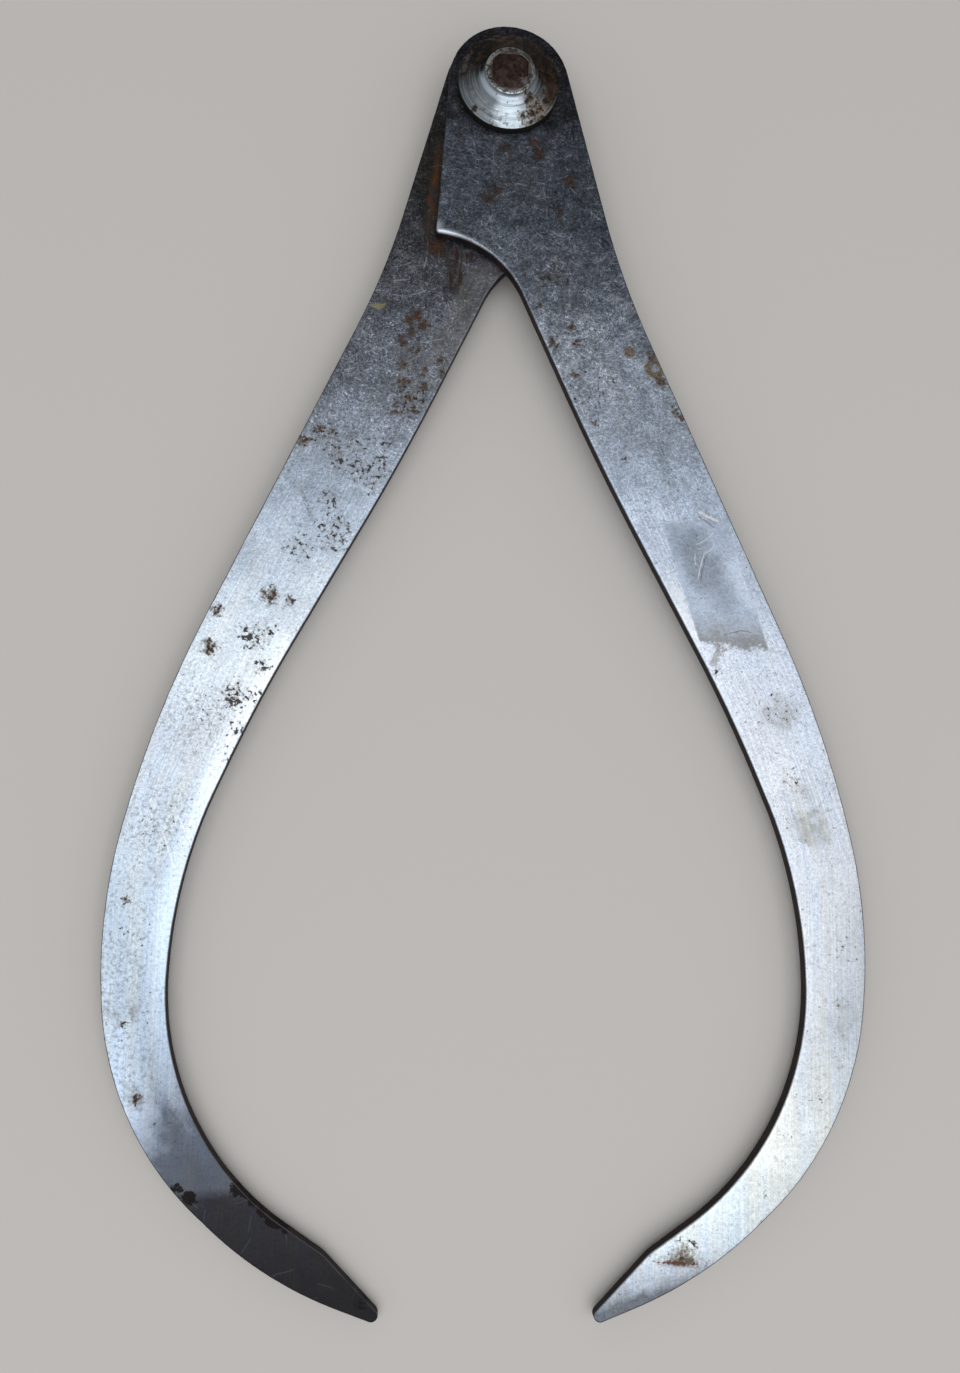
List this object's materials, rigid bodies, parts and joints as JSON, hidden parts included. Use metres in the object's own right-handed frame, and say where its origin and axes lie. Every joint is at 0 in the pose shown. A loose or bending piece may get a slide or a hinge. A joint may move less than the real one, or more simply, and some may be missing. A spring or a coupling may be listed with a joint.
{
  "type": "outside caliper",
  "caption": "Firm-joint outside caliper: flat bowed steel legs turn on a squared rivet held between coned cap washers and stay at the opening they are set to.",
  "frame": {"origin": "on the joint axis, in the plane of the small flat of the rear cap washer, where the flush rivet end lies", "axes": "+Z along the joint axis from the rear washer to the front washer; the legs run towards -Y; the front leg bows towards +X and the rear leg towards -X"},
  "size_m": [0.1222, 0.2148, 0.0129],
  "materials": {
    "front_leg_steel": "worn ground steel, dark near the joint, fine lengthwise scratches, small rust marks",
    "rear_leg_steel": "worn ground steel, heat-darkened tip, rust freckles near the joint",
    "cap_washer_steel": "turned steel with tool rings, rust pits on one side",
    "rivet_steel": "brown rusted hammered end"
  },
  "bodies": {
    "rear_half": {"rear_leg": "rear_leg_steel", "rear_cap_washer": "cap_washer_steel", "front_cap_washer": "cap_washer_steel", "rivet": "rivet_steel"},
    "front_half": {"front_leg": "front_leg_steel"}
  },
  "joints": [
    {"name": "leg_pivot", "type": "hinge", "parent": "rear_half", "child": "front_half", "pos_m": [0, 0, 0.00645], "axis": [0, 0, 1], "range_deg": [-9.4, 50]}
  ]
}
